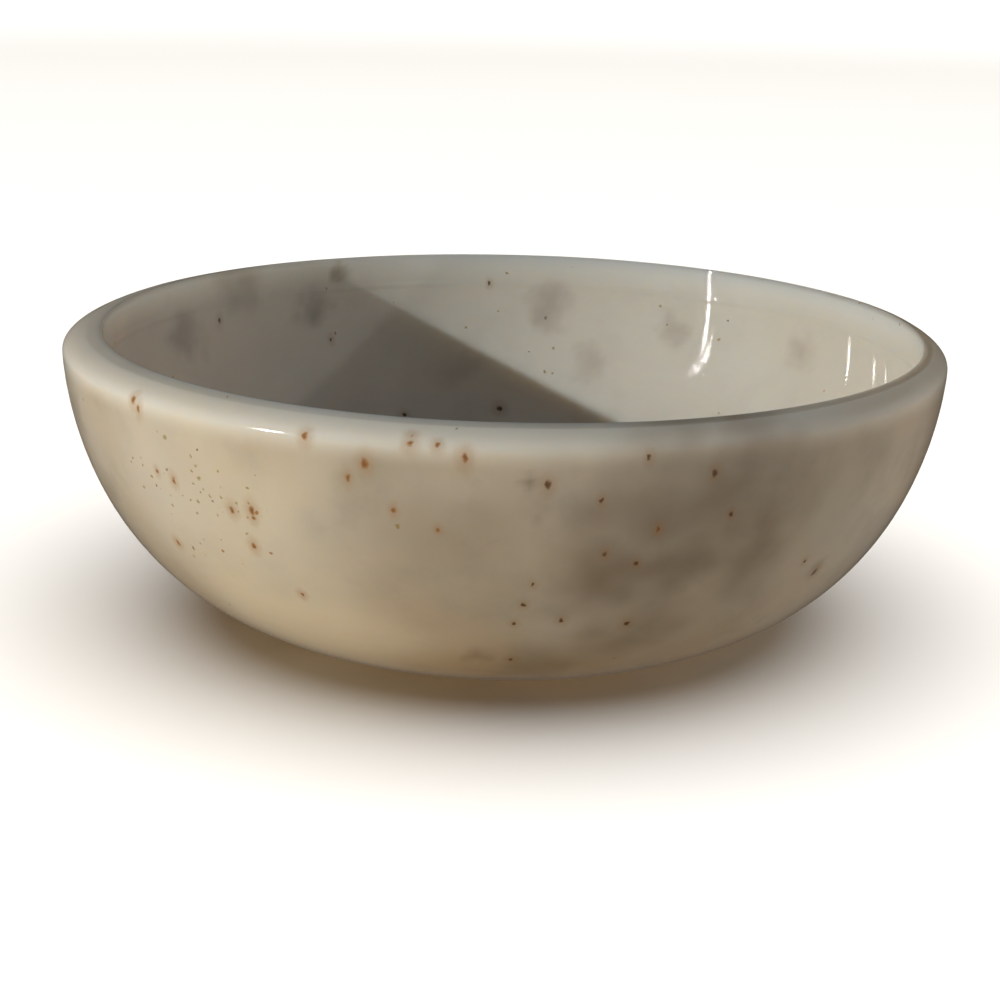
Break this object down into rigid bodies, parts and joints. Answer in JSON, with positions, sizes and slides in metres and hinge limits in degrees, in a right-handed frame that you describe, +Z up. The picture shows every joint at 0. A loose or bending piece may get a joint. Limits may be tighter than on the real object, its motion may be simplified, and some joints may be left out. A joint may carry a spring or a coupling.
{
  "type": "shaving bowl",
  "caption": "Low round stone shaving bowl with a flat polished rim and a smooth deep hollow for working up lather with a brush.",
  "frame": {"origin": "centre of the flat base, on the surface that the bowl stands on", "axes": "+Z up through the mouth of the bowl; -X is the side where the flat rim is widest"},
  "size_m": [0.12, 0.12, 0.0413],
  "materials": {
    "stone": "polished, cloudy, with rust-coloured flecks"
  },
  "bodies": {
    "root": {"bowl": "stone"}
  },
  "joints": []
}
